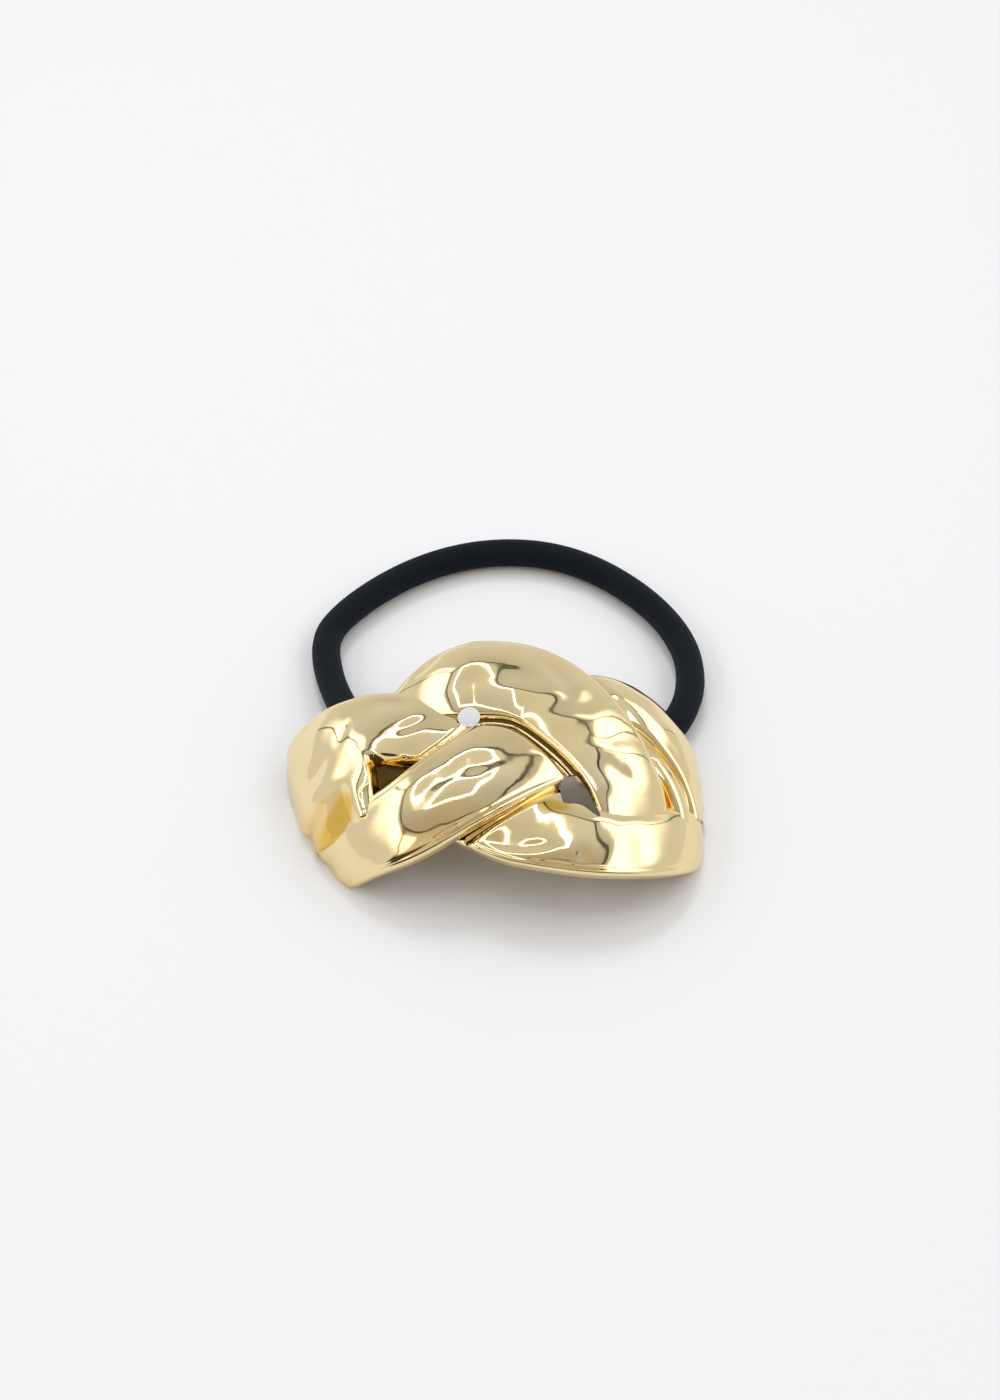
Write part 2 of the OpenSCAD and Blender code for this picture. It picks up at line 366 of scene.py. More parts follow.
def arch_at(angle, y):
    """The arch's point at an angle in degrees and a depth."""
    angle = np.radians(angle)
    left = LEFT_END[0] + (y - LEFT_END[1]) ** 2 / (2 * LEFT_END[2])
    right = RIGHT_END[0] - (y - RIGHT_END[1]) ** 2 / (2 * RIGHT_END[2])
    top = ARCH_H - (y - CREST_Y) ** 2 / (2 * CREST_BOW)
    x = (left + right) / 2 + (right - left) / 2 * np.sin(angle)
    return np.stack([x, y, top * np.cos(angle)], -1)


def arch_normal(angle, y):
    """The direction straight out of the arch, from two short steps along it."""
    return unit(np.cross(arch_at(angle + 1, y) - arch_at(angle - 1, y),
                         arch_at(angle, y + 0.1) - arch_at(angle, y - 0.1)))


print("arch:", round(RIGHT_END[0] - LEFT_END[0], 1), "mm wide and", ARCH_H, "mm high")

# %% [markdown]
# ## The strands
#
# Each strand is a table of rows along its length. The columns are the angle and depth of its
# middle, its width, how far it is lifted over (+) or pressed under (-) the others, and how much its
# middle stands above its edges. The left lobe and the front-right strand are one long strand, and
# the rear web is the metal at the bottom of the two slots at the rear right.

# %% Strand tables
# angle, depth, width, lift, crown
LEFT_TO_FRONT = [
    (-89, 1.4, 16.4, -0.6, 0.8), (-64, -0.2, 21.2, 0.0, 1.2), (-46, 0.2, 21.0, 0.6, 1.6),
    (-33, 0.4, 19.6, 0.0, 1.6), (-24, -1.2, 16.8, -1.0, 1.2), (-16, -5.7, 13.8, -1.3, 1.0),
    (-6, -10.0, 13.4, -1.3, 1.0), (4, -12.0, 13.6, -1.0, 1.0), (14, -13.5, 11.4, -0.5, 1.3),
    (28, -13.9, 10.8, 0.0, 1.4), (48, -12.6, 9.8, 0.0, 1.2), (66, -9.6, 9.4, 0.0, 1.0),
    (78, -7.4, 8.2, 0.0, 0.8), (88, -4.4, 5.2, 0.0, 0.6),
]
FRONT_LEFT = [
    (-89, -9.2, 8.4, 0.0, 0.6), (-80, -10.8, 8.6, 0.1, 0.8), (-68, -12.0, 8.4, 0.3, 1.0),
    (-50, -11.7, 10.5, 0.8, 1.2), (-34, -10.9, 11.5, 1.0, 1.4), (-19, -8.3, 12.5, 0.8, 1.5),
    (-6, -5.3, 13.0, 0.3, 1.4), (8, -0.9, 14.4, -0.5, 1.2), (19, 1.8, 12.8, -1.2, 1.0),
    (28, 4.0, 10.0, -1.2, 0.8),
]
CROSSING = [
    (-27, 8.8, 7.5, -1.9, 1.0), (-15, 10.0, 11.9, 0.9, 1.5), (-3, 9.8, 13.0, 2.2, 1.7),
    (8, 9.8, 14.6, 1.8, 1.5), (17, 7.8, 14.5, 1.2, 1.2), (27, 2.8, 13.4, 0.7, 1.0),
    (35, -2.9, 11.2, 0.6, 1.0), (42, -8.6, 11.0, 0.1, 1.2), (49, -12.5, 10.0, -1.9, 0.8),
]
REAR_INNER = [
    (36, 7.0, 5.0, -1.4, 0.8), (46, 3.4, 4.6, -0.8, 0.9), (56, -1.8, 3.2, 0.3, 0.8),
    (67, -6.9, 3.1, 0.1, 0.7), (76, -10.0, 4.0, -1.0, 0.5),
]
REAR_WEB = [
    (38, 7.6, 7.0, -2.2, 0.3), (48, 4.6, 8.0, -1.7, 0.3), (58, 0.6, 8.0, -1.6, 0.3),
    (68, -3.8, 8.0, -1.6, 0.3), (78, -8.0, 7.0, -1.9, 0.3),
]
REAR_RIGHT = [
    (20, 11.0, 6.0, -1.4, 1.0), (31, 12.2, 8.0, -0.5, 1.2), (43, 11.6, 9.4, 0.1, 1.5),
    (57, 8.7, 9.4, 0.2, 1.4), (72, 3.8, 8.9, 0.2, 1.2), (88, -2.5, 8.0, 0.0, 0.8),
]
TABLES = {"left_to_front": LEFT_TO_FRONT, "front_left": FRONT_LEFT, "crossing": CROSSING,
          "rear_inner": REAR_INNER, "rear_right": REAR_RIGHT, "rear_web": REAR_WEB}
print("rows:", {name: len(rows) for name, rows in TABLES.items()})

# %% [markdown]
# ### A strand's section
#
# Across a strand, the outer face is a low crown that rolls over at both edges, and a thin raised
# rim follows each edge, as the wax model's tool left it. The inner face just follows the outer
# one, one wall thickness below. Left and right are as we see them when we walk along the strand
# from its first row. The crossing strand's right edge is tall, and shows in the picture as a wall
# with fine ridges along it.
#
# A Solidify and a Bevel modifier could give a flat strip a wall and round edges, but every edge
# would be alike. Drawing the section point by point lets each edge have its own roll and rim.

# %% Section: measures
WALL = 1.31
CROSSING_WALL = 2.02
CROWN_SHARE = 0.4                         # share of the crown that lies above the strand's line
CROWN_POWER = 2.5                         # over 2, the middle is flatter and the edges steeper
RIM_AT, RIM_WIDTH, RIM_SHARE = 0.34, 0.18, 0.5       # in from the edge, half width, height
FURROW_AT, FURROW_WIDTH = 0.80, 0.22      # the shallow furrow beside the rim
ROLL_TURNS = np.radians([90, 78, 66, 54, 42, 30, 18])
NEAR_EDGE = np.array([0.08, 0.18, 0.30, 0.42, 0.54, 0.68, 0.84, 1.0, 1.2, 1.45])
MIDDLE_COLUMNS = 45
WALL_STEPS = 8
GROOVED_STEPS = 30
GROOVES = [(0.62, 0.24, 0.30), (1.18, 0.11, 0.24), (1.60, 0.10, 0.22)]   # down, half width, depth
GROOVE_SHADE_FROM = 0.07                        # how deep a groove is where its painted shade starts
WALL_LEAN = 0.70                          # how much further out the grooved wall is, per mm down
LEAN_FROM, LEAN_REACH = 0.25, 1.6         # how far down the lean starts, and how long it is
SKIRT_WIDTH, SKIRT_SLOPE = 1.6, 1.0       # how far in from the edge a skirt starts, and its slope
INNER_COLUMNS = 13
print("walls:", WALL, "mm, and", CROSSING_WALL, "mm in the crossing strand")


# %% Section: crown and rim
def rim(distance, height):
    """The raised rim and the furrow beside it, by distance in from the edge."""
    return height * (RIM_SHARE * np.exp(-((distance - RIM_AT) / RIM_WIDTH) ** 2)
                     - np.exp(-((distance - FURROW_AT) / FURROW_WIDTH) ** 2))


def crowned(across, half, crown, lean):
    """The height of the plain crown, turned so that its left edge rises by lean."""
    return crown * (CROWN_SHARE - np.abs(across / half) ** CROWN_POWER) + lean * across / half


print("crown:", round(crowned(0, 6, 1.5, 0), 2), "mm above the line of a 12 mm strand")


# %% Section: all round
def section(half, crown, thick, rolls, rims, grooved, skirt, lean):
    """A closed section as (across, height) pairs, and which of them lie deep in a groove and take
    painted shade. It runs over the outer face from the right edge to the left one, down the left
    wall, back along the inner face and up the right wall. rolls are the radii of the rolled-over
    right and left edges."""
    in_right = np.concatenate([rolls[0] * (1 - np.sin(ROLL_TURNS)), rolls[0] + NEAR_EDGE])
    in_left = np.concatenate([rolls[1] * (1 - np.sin(ROLL_TURNS)), rolls[1] + NEAR_EDGE])
    middle = np.linspace(-half + in_right[-1], half - in_left[-1], MIDDLE_COLUMNS + 2)[1:-1]
    across = np.concatenate([-half + in_right, middle, (half - in_left)[::-1]])
    right, left = across + half, half - across
    height = crowned(across, half, crown, lean)
    for distance, roll in ((right, rolls[0]), (left, rolls[1])):
        short = np.clip(roll - distance, 0, roll)
        height -= roll - np.sqrt(roll ** 2 - short ** 2)
    height += rim(right, rims[0]) + rim(left, rims[1])
    under = np.linspace(half, -half, INNER_COLUMNS)
    inner = crowned(under, half, crown, lean) - thick
    inner -= skirt * np.clip((under - half + SKIRT_WIDTH) / SKIRT_SLOPE, 0, 1)
    down = np.linspace(0, 1, WALL_STEPS + 2)[1:-1]
    left_wall = np.stack([np.full(WALL_STEPS, half),
                          height[-1] + (inner[0] - height[-1]) * down], 1)
    right_steps = GROOVED_STEPS if grooved else WALL_STEPS
    deep = (height[0] - inner[-1]) * np.linspace(0, 1, right_steps + 2)[1:-1]
    cut, lean_out = np.zeros_like(deep), np.zeros_like(deep)
    if grooved:
        for groove, half_width, groove_deep in GROOVES:
            cut += groove_deep * np.exp(-((deep - groove) / half_width) ** 2)
        lean_out = WALL_LEAN * np.clip(deep - LEAN_FROM, 0, LEAN_REACH)
    right_wall = np.stack([-half + cut - lean_out, height[0] - deep], 1)[::-1]
    # faces deep in a groove are marked for the second finish, which paints shade there
    groove_shaded = np.zeros(len(across) + WALL_STEPS + INNER_COLUMNS + len(deep), bool)
    groove_shaded[-len(deep):] = (cut > GROOVE_SHADE_FROM)[::-1]
    return np.concatenate([np.stack([across, height], 1), left_wall,
                           np.stack([under, inner], 1), right_wall]), groove_shaded


sample, _ = section(6.0, 1.5, WALL, (0.45, 0.9), (0.0, 0.0), False, 0.0, 0.0)
print("section:", len(sample), "points")

# %% [markdown]
# ### Dents, painted amber spots and the dark pocket
#
# The gold isn't a perfect mirror shape: the strands are softly dented all over, like hammered
# metal, and each dent bends the studio's lights into wobbly outlines. Two things make them. A sum
# of slow waves gives the whole surface its swell, and a table places the single dents and bosses
# that the eye picks out. A noise texture could displace the mesh with less work, but then no dent
# would be where the real one is.
#
# The left lobe has a dark pocket with three straight sides and a flat floor, which is a row of its
# own. Spots of painted bounce light, the amber that light takes on between gold faces, are placed
# as the dents are, and change only the colour.

# %% Dents: single ones
# columns: x, y, length, width, turn in degrees, depth (+ is hollow), in millimetres
DENTS = {
    "left_to_front": [
        (-23.6, 0.0, 3.0, 2.4, 60, 0.34), (-19.6, -3.4, 3.4, 3.0, 20, 0.34),
        (-20.3, 3.2, 4.6, 1.6, 75, 0.22), (-14.0, 6.6, 4.4, 2.4, 160, 0.22),
        (-24.0, 5.0, 6.0, 3.0, 80, -0.30), (-11.0, 2.2, 3.4, 1.8, 30, 0.20),
        (11.5, -17.2, 2.6, 1.8, 60, 0.20), (5.6, -16.2, 4.0, 1.6, 5, 0.20),
        (19.5, -15.4, 2.6, 4.2, 0, 0.20),
    ],
    "front_left": [
        (-7.6, -8.4, 6.4, 2.6, 28, 0.20), (-2.0, -6.0, 3.2, 4.4, 0, 0.16),
        (-16.6, -9.8, 3.0, 2.0, 30, 0.12),
    ],
    "crossing": [
        (-7.6, 8.6, 3.6, 3.0, 60, 0.16), (-4.0, 7.6, 3.6, 3.0, 20, 0.16),
        (-9.2, 12.6, 3.4, 1.6, 35, 0.24), (3.6, 8.8, 6.0, 3.4, 145, 0.16),
        (9.0, 9.6, 2.2, 6.0, 30, 0.22), (-2.0, 14.6, 3.0, 2.0, 0, 0.16),
        (16.4, -5.2, 5.4, 3.4, 165, 0.30), (18.8, -11.4, 4.0, 1.8, 175, 0.10),
    ],
    "rear_inner": [(20.4, 1.2, 4.0, 1.4, 125, 0.18)],
    "rear_right": [
        (22.8, 6.0, 5.0, 1.4, 130, -0.14), (24.8, 2.0, 4.4, 1.6, 110, 0.24),
    ],
}
SPOT_FALL = 0.9                           # how fast a spot fades from its middle


def ovals(table, strand, x, y):
    """The sum of a strand's soft oval spots at x, y."""
    total = np.zeros_like(x)
    for spot_x, spot_y, length, width, turned, amount in table.get(strand, []):
        c, s = math.cos(math.radians(turned)), math.sin(math.radians(turned))
        u = ((x - spot_x) * c + (y - spot_y) * s) / (length / 2)
        v = (-(x - spot_x) * s + (y - spot_y) * c) / (width / 2)
        total += amount * np.exp(-SPOT_FALL * (u * u + v * v))
    return total


print("dents:", sum(map(len, DENTS.values())))

# %% Dents: pocket and painted amber spots
# three corners as x and y, depth: hollows with a flat floor and steep sides
PITS = {"left_to_front": [((-17.2, -1.3), (-7.6, -3.0), (-15.8, -8.8), 1.8)]}
PIT_SIDE = 1.1                            # how far in from a side the floor starts
# columns as for dents: spots of painted amber bounce light, with no dent
PAINTED_AMBER_SPOTS = {
    "left_to_front": [(-20.4, -8.2, 5.4, 3.0, 35, 1.3), (8.0, -10.4, 5.6, 2.2, -5, 1.6)],
    "rear_web": [(23.0, 2.0, 40.0, 40.0, 0, 1.2)],
    "rear_inner": [(23.6, 0.9, 9.0, 2.6, -38, 1.5), (23.2, -4.5, 5.0, 1.8, -75, 1.5)],
    "rear_right": [(23.6, 0.9, 8.0, 1.6, -38, 1.2)],
}
PAINTED_SPOT_LIMIT = 1.3                         # a painted spot never counts as deeper than this
print("painted_amber_spots:", sum(map(len, PAINTED_AMBER_SPOTS.values())))

# %% Dents: swell
SWELL_WAVES = 14
SWELL_LONGEST, SWELL_SHORTEST = 15.0, 4.0
SWELL_HEIGHT = 0.044                      # of the longest wave
SWELL_SEED = 7
swell_chance = np.random.default_rng(SWELL_SEED)
swell_heading = swell_chance.uniform(0, 2 * np.pi, SWELL_WAVES)
swell_phase = swell_chance.uniform(0, 2 * np.pi, SWELL_WAVES)
swell_length = np.geomspace(SWELL_LONGEST, SWELL_SHORTEST, SWELL_WAVES)
print("swell:", SWELL_WAVES, "waves,", SWELL_SHORTEST, "to", SWELL_LONGEST, "mm long")

# %% Dents: depth at a point
FAR = 99.0                                # further than any two points of the plate


def eased(share):
    """0 up to share 0 and 1 from share 1, with a smooth rise between."""
    share = np.clip(share, 0, 1)
    return share * share * (3 - 2 * share)


def dent_depth(strand, x, y):
    """How far the outer face lies below its plain shape at x, y."""
    depth = ovals(DENTS, strand, x, y)
    for heading, phase, length in zip(swell_heading, swell_phase, swell_length):
        wave = (x * np.cos(heading) + y * np.sin(heading)) * 2 * np.pi / length
        depth += SWELL_HEIGHT * (length / SWELL_LONGEST) * np.sin(wave + phase)
    for *corners, deep in PITS.get(strand, []):
        inside = np.full_like(x, FAR)
        for (from_x, from_y), (to_x, to_y) in zip(corners, corners[1:] + corners[:1]):
            length = math.hypot(to_x - from_x, to_y - from_y)
            from_side = ((y - from_y) * (to_x - from_x) - (x - from_x) * (to_y - from_y)) / length
            inside = np.minimum(inside, -from_side)
        depth += deep * eased(inside / PIT_SIDE)
    return depth


floor_depth = dent_depth("left_to_front", np.array([-14.0]), np.array([-4.4]))[0]
print("pocket's floor:", round(float(floor_depth), 2), "mm deep")

# %% [markdown]
# ### Where one strand dives under another
#
# The strands were pressed together in wax. A strand that passes under another is pushed down along
# the other's edge, which leaves a narrow valley there. Light bounces between the valley's sides
# and takes the gold's colour twice, so the valleys are deep amber. A boolean alone would only cut
# the strands into each other. The valley starts a little way outside the upper strand's edge, so
# all that it takes is each point's distance from that edge.

# %% Strands: middle lines and valleys
STEPS_PER_ROW = 18
BLUR_STEPS = 0.4 * STEPS_PER_ROW
PRESS_EASE = 6                            # degrees over which a valley starts and ends


def middle_line(name):
    """A strand's samples, its middle, and the directions to its left and outwards."""
    samples = blurred(curve_through(TABLES[name], STEPS_PER_ROW), BLUR_STEPS)
    angle, depth, _, lift, _ = samples.T
    normal = arch_normal(angle, depth)
    middle = arch_at(angle, depth) + lift[:, None] * normal
    along = unit(np.gradient(middle, axis=0))
    side = unit(np.cross(normal, along))
    return samples, middle, side, np.cross(along, side)


def pressed_down(points, angle, presses):
    """How far each point is pushed down by the strands over it."""
    down = np.zeros(points.shape[:-1])
    for over, first, last, depth, reach in presses:
        samples, middle, _, _ = middle_line(over)
        middle = middle - PLATE_MIDDLE
        away = np.full(points.shape[:-1], FAR)
        for centre, half in zip(middle, samples[:, 2] / 2):
            from_edge = np.linalg.norm(points[..., :2] - centre[:2], axis=-1) - half
            away = np.minimum(away, from_edge)
        near = (np.clip((angle - first) / PRESS_EASE, 0, 1)
                * np.clip((last - angle) / PRESS_EASE, 0, 1))
        down = np.maximum(down, depth * eased(1 - away / reach) * near[:, None])
    return down


crossing_middle = middle_line("crossing")[1]
print("crossing strand:", round(float(crossing_middle[:, 2].max()), 1), "mm high in its middle")

# %% [markdown]
# ### Six strands
#
# Each strand is now its section, swept along its middle, less its dents and valleys. The mesh also
# keeps how deep each point was sunk, painted amber spots included, because the amber of light
# bounced in the hollows is painted into the colour there.

# %% Strands: loft
EDGE_PLAIN, EDGE_FADE = 0.3, 1.8          # dents start this far in, and grow over this width


def strand(name, thick=WALL, rolls=(0.45, 0.9), rims=(0.0, 0.0), grooved=False, skirt=0.0,
           leans=((0, 0.0),), presses=()):
    """Lofts a strand. rolls and rims size its right and left edges, and skirt is how far its left
    edge reaches down under it. leans has rows of an angle and how far the section is turned
    there, as the rise of its left edge. Each row of presses is a strand over it, the first and
    last angle where it lies there, how deep it presses, and how far outside its edge the valley
    reaches."""
    samples, middle, side, out = middle_line(name)
    angle, _, width, _, crown = samples.T
    lean = np.interp(angle, *zip(*leans))
    drawn = [section(w / 2, c, thick, rolls, rims, grooved, skirt, n)
             for w, c, n in zip(width, crown, lean)]
    sections = np.array([shape for shape, _ in drawn])
    rings = (middle[:, None, :] + sections[..., :1] * side[:, None, :]
             + sections[..., 1:] * out[:, None, :]) - PLATE_MIDDLE
    fade = eased((width[:, None] / 2 - np.abs(sections[..., 0]) - EDGE_PLAIN) / EDGE_FADE)
    sunk = dent_depth(name, rings[..., 0], rings[..., 1]) * fade
    sunk = sunk + pressed_down(rings, angle, presses)
    # painted amber spots add to the depth that the finish reads, so bounce light is painted there
    # too
    with_painted_spots = sunk + ovals(PAINTED_AMBER_SPOTS, name, rings[..., 0], rings[..., 1])
    with_painted_spots = np.maximum(sunk, np.minimum(with_painted_spots, PAINTED_SPOT_LIMIT))
    rings -= sunk[..., None] * out[:, None, :]
    return loft(name, rings, second=drawn[0][1], depths=with_painted_spots)


# %% Strands: all six
strands = [
    strand("left_to_front", rims=(0.04, 0.05),
           leans=[(-89, 0.2), (-66, -0.6), (-45, -0.4), (-25, 0.0), (-15, 0.0), (8, -0.7),
                  (40, -0.6), (70, -0.2)],
           presses=[("front_left", -95, -44, 0.9, 2.2), ("front_left", -42, -12, 0.8, 1.2),
                    ("front_left", -16, 40, 0.6, 1.0), ("crossing", -16, 14, 0.4, 1.2)]),
    strand("front_left", rims=(0.05, 0.06), rolls=(0.45, 0.4), skirt=0.8,
           presses=[("crossing", -20, 30, 1.2, 2.0)]),
    strand("crossing", CROSSING_WALL, rolls=(0.35, 1.1), grooved=True,
           leans=[(-20, 0.6), (-5, 1.5), (15, 0.5), (30, 0.3), (45, 0.2)],
           presses=[("left_to_front", 38, 60, 0.35, 2.0)]),
    strand("rear_inner", rolls=(0.4, 0.5)),
    strand("rear_right", rolls=(0.5, 0.9), presses=[("crossing", 10, 60, 0.4, 1.6)]),
    strand("rear_web", thick=1.0),
]
print("strands:", sum(len(s.data.polygons) for s in strands), "faces")

# %% [markdown]
# ### The bails
#
# Two wire staples are soldered under the plate and hold the elastic. The photograph doesn't show
# them, so they are plain: a half turn of round wire under the elastic and two straight legs, with
# a small fillet of solder where each leg meets the plate. They are lofts too, so that the wire can
# widen smoothly into the solder.

# %% Bails
BAIL_WIRE = 1.4
BAIL_GAP = 0.45                           # air between the elastic and the wire
BAIL_R = ELASTIC_D / 2 + BAIL_GAP + BAIL_WIRE / 2
WIRE_SIDES = 20
LEG_RINGS, TURN_RINGS = 16, 25
SOLDER_REACH = 1.1                        # how far the solder climbs down a leg
SOLDER_SPREAD = 0.6                       # how much it adds to the wire's radius at the plate


def bail(name, point, tops_z, metal_z):
    """A staple round the elastic at a route point. Its legs end at tops_z, inside the metal, and
    metal_z is where each leg meets the metal."""
    before, after = ROUTE[(point - 1) % len(ROUTE)], ROUTE[(point + 1) % len(ROUTE)]
    heading = math.atan2(after[1] - before[1], after[0] - before[0])
    across = np.array([-math.sin(heading), math.cos(heading), 0])
    ahead = np.array([math.cos(heading), math.sin(heading), 0])
    centre = route[point * RINGS_PER_POINT]
    line, radii = [], []
    for leg, top_z, meets in ((-1, tops_z[0], metal_z[0]), (1, tops_z[1], metal_z[1])):
        heights = np.linspace(top_z, centre[2], LEG_RINGS)
        points = [centre * (1, 1, 0) + leg * BAIL_R * across + (0, 0, z) for z in heights]
        near = np.clip(1 - (meets - heights) / SOLDER_REACH, 0, 1)
        widths = BAIL_WIRE / 2 + SOLDER_SPREAD * near ** 3
        if leg < 0:
            line += points[:-1]
            radii += list(widths[:-1])
            turns = np.linspace(0, np.pi, TURN_RINGS)
            line += [centre - BAIL_R * (math.cos(a) * across + math.sin(a) * np.array([0, 0, 1]))
                     for a in turns]
            radii += [BAIL_WIRE / 2] * len(turns)
        else:
            line += points[-2::-1]
            radii += list(widths[-2::-1])
    line = np.array(line)
    outward = unit(np.cross(unit(np.gradient(line, axis=0)), ahead))
    turn = 2 * np.pi * np.arange(WIRE_SIDES) / WIRE_SIDES
    rings = line[:, None, :] + np.array(radii)[:, None, None] * (
        np.cos(turn)[None, :, None] * ahead + np.sin(turn)[None, :, None] * outward[:, None, :])
    return loft(name, rings)


bails = [
    bail("left_bail", LEFT_BAIL, (13.2, 12.6), (12.1, 12.0)),
    bail("right_bail", RIGHT_BAIL, (11.8, 10.3), (11.1, 9.7)),
]
print("bails:", round(2 * BAIL_R - BAIL_WIRE, 1), "mm wide inside")

# %% [markdown]
# ### One cast piece
#
# The strands and bails are joined into one closed skin, so nothing is left inside the metal, and
# the ends are cut off flat where the plate stands on the table. The boolean makes clean seams
# where one strand passes under another. Those seams are sharp in the casting too, and show as thin
# dark lines, so only the edges that turn more than 35 degrees stay hard.

# %% Join and cut
FOOT_BOX = 80 * MM
SHARP = math.radians(35)


def combine(piece, other, operation):
    """Joins other into piece, or cuts piece down to it, and deletes other."""
    change = piece.modifiers.new(operation, "BOOLEAN")
    change.operation = operation
    change.solver = "MANIFOLD"
    change.object = other
    bpy.context.view_layer.update()
    result = bpy.data.meshes.new_from_object(
        piece.evaluated_get(bpy.context.evaluated_depsgraph_get()))
    piece.modifiers.clear()
    piece.data = result
    bpy.data.objects.remove(other)


plate = strands[0]
for other in strands[1:] + bails:
    combine(plate, other, "UNION")
above = bmesh.new()
bmesh.ops.create_cube(above, size=FOOT_BOX)
bmesh.ops.translate(above, verts=above.verts, vec=(0, 0, FOOT_BOX / 2))
above_mesh = bpy.data.meshes.new("above_table")
above.to_mesh(above_mesh)
above.free()
above_table = bpy.data.objects.new("above_table", above_mesh)
scene.collection.objects.link(above_table)
combine(plate, above_table, "INTERSECT")
print("joined:", len(plate.data.polygons), "faces")

# %% [markdown]
# ### The two openings
#
# The wax was pierced where three strands meet: a round opening left of the middle and a
# three-cornered one right of it. Each is a slanted prism through the metal, drawn as a short
# outline round its centre. The columns are millimetres to the right and up, as the camera sees it.

# %% Openings
OPENING_CENTRES = [(-3.1, 3.75, 14.3), (11.45, -8.0, 12.3)]
OPENING_OUTLINES = [
    [(1.45, 0.0), (1.2, 0.75), (0.55, 1.25), (-0.3, 1.3), (-1.1, 0.85), (-1.6, 0.2),
     (-1.5, -0.6), (-0.8, -1.15), (0.1, -1.3), (1.0, -0.95)],
    [(-2.5, 1.0), (-2.0, 1.7), (-1.0, 2.0), (-0.3, 1.8), (0.5, 0.8), (1.4, -0.7), (2.2, -2.2),
     (2.6, -3.3), (1.6, -2.8), (0.4, -1.9), (-0.8, -1.6), (-2.1, -1.6), (-2.5, -0.6)],
]
OPENING_REACH = 5.0
OPENING_STEPS, OPENING_BLUR = 6, 1.5      # samples between two points, and their blur

seen_right = np.array([1.0, 0.0, 0.0])
seen_up = np.array([0.0, math.sin(CAMERA_ELEVATION), math.cos(CAMERA_ELEVATION)])
towards = np.cross(seen_right, seen_up)
for centre, outline in zip(OPENING_CENTRES, OPENING_OUTLINES):
    outline = blurred(curve_through(outline, OPENING_STEPS, closed=True), OPENING_BLUR, closed=True)
    ring = outline[:, :1] * seen_right + outline[:, 1:] * seen_up
    tool = loft("opening", np.array([centre + ring + reach * towards
                                     for reach in (-OPENING_REACH, OPENING_REACH)]))
    combine(plate, tool, "DIFFERENCE")
print("openings:", len(OPENING_OUTLINES))

# %% [markdown]
# ### Crumbs
#
# Where two surfaces almost touch, a boolean can leave a loose crumb of a few faces. It is too small
# to see, but a clean mesh has none. We could hunt for it by hand in Edit Mode. Here we walk over
# the mesh from point to point instead, and keep only the largest connected part.

# %% Crumbs
def drop_crumbs(piece):
    """Keeps a piece's largest connected part. Returns how many others it deleted."""
    shape = bmesh.new()
    shape.from_mesh(piece.data)
    unseen, parts = set(shape.verts), []
    while unseen:
        part = [unseen.pop()]
        for point in part:                    # the list grows while we walk along it
            for edge in point.link_edges:
                neighbour = edge.other_vert(point)
                if neighbour in unseen:
                    unseen.remove(neighbour)
                    part.append(neighbour)
        parts.append(part)
    parts.sort(key=len)
    crumbs = [point for part in parts[:-1] for point in part]
    bmesh.ops.delete(shape, geom=crumbs, context="VERTS")
    shape.to_mesh(piece.data)
    shape.free()
    return len(parts) - 1


print("crumbs:", drop_crumbs(plate))

# %% Plate: name and edges
plate.name = plate.data.name = "gold_plait"
plate.data.shade_smooth()
plate.data.set_sharp_from_angle(angle=SHARP)
plate.data.calc_loop_triangles()
print("plate:", len(plate.data.loop_triangles), "triangles")

# %% [markdown]
# ### Pale gold plating
#
# The plate is zinc alloy, polished by tumbling and plated with a thin pale gold. Plating follows
# the polish, so it is a near-perfect mirror with a warm tint: metallic, with a roughness of about
# 0.06. Tumbling leaves a faint orange-peel waviness of a millimetre or two, which a weak bump
# gives, and the gloss is a little softer in patches.
#
# The amber that light takes on as it bounces between gold faces is painted into the colour: in the
# hollows, and in a few listed spots. The lofts stored a depth for each point, the painted spots
# included, so the finish reads that and paints amber there.
# The dark pocket's floor is painted with shade and a dark reflection: a dull brown with a ragged
# edge.

# %% Plate: colours and sizes
GOLD = "F3DFAE"
GOLD_DEEP = "EFD79F"
# the amber of light bounced between gold faces, painted into the colour
GOLD_PAINTED_BOUNCE = "E6BC58"
HOLLOW_FROM, HOLLOW_FULL = 0.6, 1.3       # how deep a point is where the painted bounce light starts and is full
PIT_PAINTED_SHADE = "4E3B1A"                      # painted shade and dark reflection on the pocket's floor
PIT_FROM, PIT_FULL = 1.6, 1.72            # the same depths for the painted shade
PIT_RAGGED = 0.3                          # how far, at most, its edge wanders
PIT_ROUGHNESS = 0.35
GLOSSIEST, DULLEST = 0.045, 0.10          # roughness
PEEL_MM, PEEL_DEPTH, PEEL_STRENGTH = 2.4, 0.05, 0.5
PATCH_MM = 6.0
GLOSS_CHANGES = (0.3, 0.7)                # noise values between which the gloss changes
TINT_CHANGES = (0.35, 0.75)               # and the tint
print("orange peel:", PEEL_MM, "mm across, patches:", PATCH_MM, "mm")

